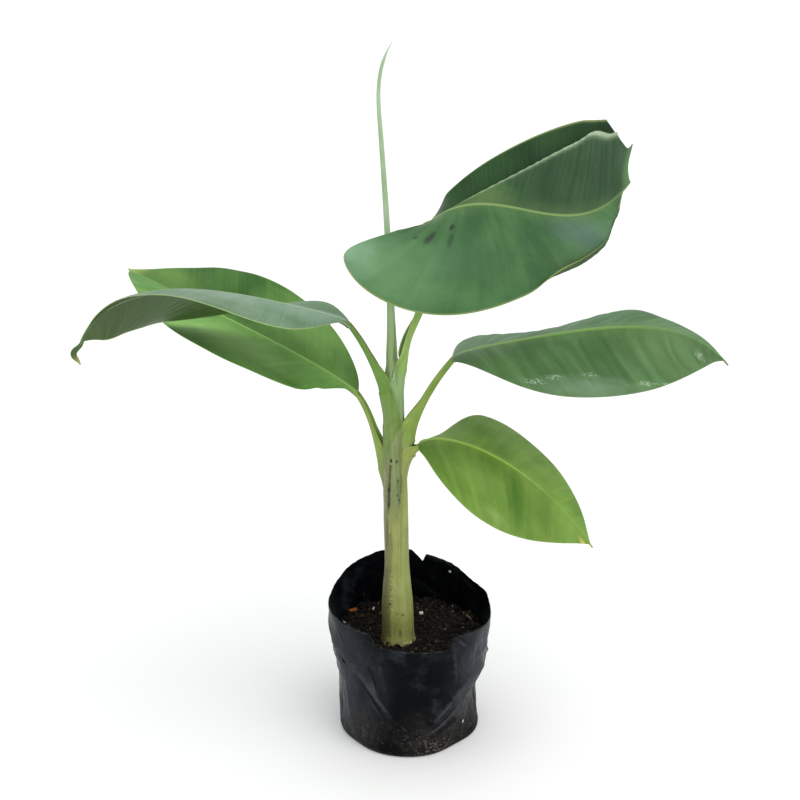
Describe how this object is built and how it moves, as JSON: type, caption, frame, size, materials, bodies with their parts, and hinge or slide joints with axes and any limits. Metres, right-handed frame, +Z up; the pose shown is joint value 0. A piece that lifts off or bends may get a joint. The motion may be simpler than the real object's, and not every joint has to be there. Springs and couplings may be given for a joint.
{
  "type": "banana sapling in a grow bag",
  "caption": "Young banana plant with broad arching leaves and a rolled new leaf on a sheathed stem, standing in a soft black grow bag of soil.",
  "frame": {"origin": "centre of the grow bag's flat underside, on the floor", "axes": "+Z up, +X to the viewer's right, -Y towards the viewer of the picture"},
  "size_m": [0.3617, 0.2591, 0.423],
  "materials": {
    "bag_film": "satin",
    "potting_soil": "matte",
    "sheath": "satin",
    "young_leaf": "satin",
    "old_leaf": "satin",
    "leaf": "satin"
  },
  "bodies": {
    "root": {"grow_bag": "bag_film", "soil": "potting_soil", "pseudostem": "sheath", "spear_leaf": "young_leaf", "petiole_lower_right": "sheath", "petiole_left_back": "sheath", "petiole_right": "sheath", "petiole_left_front": "sheath", "petiole_top_right": "sheath", "blade_lower_right": "old_leaf", "blade_left_back": "leaf", "blade_right": "leaf", "blade_left_front": "leaf", "blade_top_right": "leaf"}
  },
  "joints": []
}
